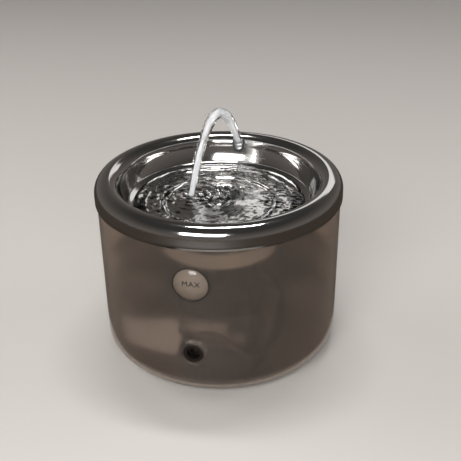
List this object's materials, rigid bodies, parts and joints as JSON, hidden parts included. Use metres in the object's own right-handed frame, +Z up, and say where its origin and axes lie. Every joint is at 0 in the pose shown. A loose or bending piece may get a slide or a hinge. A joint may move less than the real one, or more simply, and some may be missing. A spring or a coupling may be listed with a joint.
{
  "type": "pet water fountain",
  "caption": "Round pet drinking fountain: a clear tank with a submerged pump, a filter basket and a polished steel tray whose spout throws a jet of water into the bowl.",
  "frame": {"origin": "centre of the footprint, on the floor", "axes": "+Z up; -Y is the front, with the window and the power inlet; the spout is at +Y"},
  "size_m": [0.19, 0.19, 0.1785],
  "materials": {
    "smoke_clear": "frosted inside, smoke tinted",
    "soft_pad": "matte",
    "black_plastic": "fine moulded",
    "brass_pin": "turned",
    "black_rubber": "matte",
    "polished_steel": "mirror polished",
    "clear_plastic": "clear",
    "grey_silicone": "soft",
    "water": "clear liquid",
    "smoke_grey": "moulded",
    "steel": "plain",
    "white_plastic": "moulded",
    "carbon": "granular",
    "cotton": "felted",
    "copper": "enamelled winding",
    "potting": "cast resin",
    "ceramic_white": "ground",
    "magnet": "sintered ferrite",
    "foam": "open cell foam",
    "clear_hose": "clear silicone",
    "lead_jacket": "smooth jacket"
  },
  "bodies": {
    "tank": {"tank_shell": "smoke_clear", "tank_feet": "soft_pad", "inlet_socket": "black_plastic", "inlet_pin": "brass_pin", "inlet_seal": "black_rubber", "inlet_nut": "black_plastic", "pump_body": "black_plastic", "stator_core": "steel", "stator_coil": "copper", "pump_potting": "potting", "shaft_bushes": "black_rubber", "rotor_shaft": "ceramic_white", "impeller_cover": "black_plastic", "pump_feet": "black_rubber", "outlet_elbow": "black_plastic", "riser_hose": "clear_hose", "pump_lead": "lead_jacket"},
    "tray": {"steel_tray": "polished_steel", "spout_grommet": "black_rubber", "spout": "clear_plastic", "tray_gasket": "grey_silicone", "water_stream": "water", "filter_collar": "smoke_grey", "tray_studs": "steel", "collar_nuts": "steel"},
    "basket": {"filter_basket": "white_plastic", "filter_frame": "white_plastic", "filter_carbon": "carbon", "filter_cotton": "cotton", "filter_gasket": "grey_silicone"},
    "rotor": {"rotor_magnet": "magnet", "impeller": "white_plastic"},
    "strainer": {"strainer_cover": "black_plastic", "pump_sponge": "foam"}
  },
  "joints": [
    {"name": "tray_lift", "type": "slide", "parent": "tank", "child": "tray", "axis": [0, 0, 1], "range_m": [0, 0.09]},
    {"name": "basket_twist", "type": "hinge", "parent": "tray", "child": "basket", "pos_m": [0, 0, 0.09], "axis": [0, 0, 1], "range_deg": [0, 25]},
    {"name": "impeller_spin", "type": "hinge", "parent": "tank", "child": "rotor", "pos_m": [0, 0, 0.026], "axis": [0, 1, 0], "continuous": true},
    {"name": "strainer_pull", "type": "slide", "parent": "tank", "child": "strainer", "axis": [0, -1, 0], "range_m": [0, 0.015]}
  ]
}
